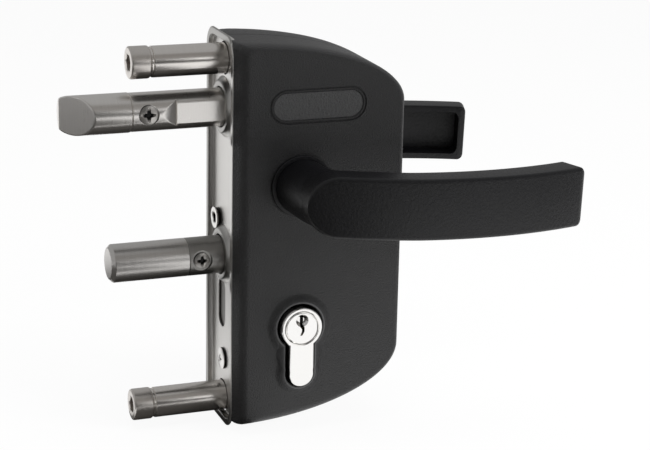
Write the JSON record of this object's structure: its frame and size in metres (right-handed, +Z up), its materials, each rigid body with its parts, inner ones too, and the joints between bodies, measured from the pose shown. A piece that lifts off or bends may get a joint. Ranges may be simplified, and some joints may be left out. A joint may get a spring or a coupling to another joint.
{
  "type": "gate lock box",
  "caption": "Black moulded gate lock box with lever handles, a bevelled sprung latch, a key-driven round deadbolt and a steel face plate on fixing sleeves.",
  "frame": {"origin": "midway between the two fixing sleeves, on the plane of the face plate's rim", "axes": "+X into the lock box, bolts towards -X, -Y towards the front lever, +Z up"},
  "size_m": [0.195, 0.1356, 0.1606],
  "materials": {
    "plate_steel": "pressed stainless sheet, brushed along its length",
    "cover_black": "satin moulded plastic with a fine grain",
    "lever_black": "satin moulded plastic",
    "bolt_steel": "turned stainless steel",
    "dark_steel": "dark zinc-nickel coat",
    "screw_steel": "bright zinc coat",
    "spring_steel": "drawn wire",
    "plated_brass": "satin nickel plate on brass",
    "brass": "bare machined brass"
  },
  "bodies": {
    "lock_body": {"face_plate": "plate_steel", "front_case_plate": "plate_steel", "rear_case_plate": "plate_steel", "case_posts": "plate_steel", "anchor_blocks": "plate_steel", "spring_block": "plate_steel", "front_cover": "cover_black", "rear_cover": "cover_black", "front_bush": "cover_black", "rear_bush": "cover_black", "idler_axle": "bolt_steel", "top_fixing_sleeve": "bolt_steel", "bottom_fixing_sleeve": "bolt_steel", "sleeve_washers": "bolt_steel", "fixing_bolts": "dark_steel", "plate_screw": "screw_steel", "cylinder_screw": "screw_steel", "cover_screws": "screw_steel", "case_screws": "screw_steel", "driver_pins": "screw_steel", "latch_spring": "spring_steel", "lever_spring": "spring_steel", "pin_springs": "spring_steel", "cylinder_body": "plated_brass", "chamber_plugs": "plated_brass", "latch_guide": "brass", "deadbolt_guide": "brass"},
    "lever_set": {"front_lever": "lever_black", "rear_lever": "lever_black", "lever_grub_screws": "screw_steel", "spindle": "bolt_steel", "follower": "brass"},
    "latch": {"latch_head": "bolt_steel", "latch_shaft": "bolt_steel", "latch_screw": "screw_steel", "latch_tail": "bolt_steel"},
    "deadbolt": {"deadbolt_tip": "bolt_steel", "deadbolt_body": "dark_steel", "deadbolt_screw": "screw_steel", "deadbolt_rack": "bolt_steel"},
    "key_core": {"front_plug": "plated_brass", "front_key_pins": "brass", "cylinder_cam": "brass", "cam_clutch": "screw_steel"},
    "rear_core": {"rear_plug": "plated_brass", "rear_key_pins": "brass"},
    "idler": {"idler_gear": "brass"}
  },
  "joints": [
    {"name": "lever_turn", "type": "hinge", "parent": "lock_body", "child": "lever_set", "pos_m": [0.0262, 0, 0.023], "axis": [0, 1, 0], "range_deg": [0, 40], "stiffness_Nm_per_rad": 0.6, "springref_deg": -28.65, "deforming": ["lever_spring"]},
    {"name": "latch_slide", "type": "slide", "parent": "lock_body", "child": "latch", "axis": [1, 0, 0], "range_m": [0, 0.01327], "deforming": ["latch_spring"]},
    {"name": "deadbolt_slide", "type": "slide", "parent": "lock_body", "child": "deadbolt", "axis": [-1, 0, 0], "range_m": [0, 0.02295]},
    {"name": "key_turn", "type": "hinge", "parent": "lock_body", "child": "key_core", "pos_m": [0.0262, 0, -0.0348], "axis": [0, 1, 0], "range_deg": [0, 360]},
    {"name": "idler_turn", "type": "hinge", "parent": "lock_body", "child": "idler", "pos_m": [0.0414, 0, -0.02593], "axis": [0, 1, 0], "range_deg": [-328.8, 0]},
    {"name": "rear_plug_turn", "type": "hinge", "parent": "lock_body", "child": "rear_core", "pos_m": [0.0262, 0, -0.0348], "axis": [0, 1, 0], "range_deg": [0, 360]}
  ],
  "couplings": [
    {"joint": "latch_slide", "follows": "lever_turn", "m_per_rad": 0.019},
    {"joint": "key_turn", "follows": "deadbolt_slide", "rad_per_m": 273.81},
    {"joint": "idler_turn", "follows": "deadbolt_slide", "rad_per_m": -250}
  ]
}
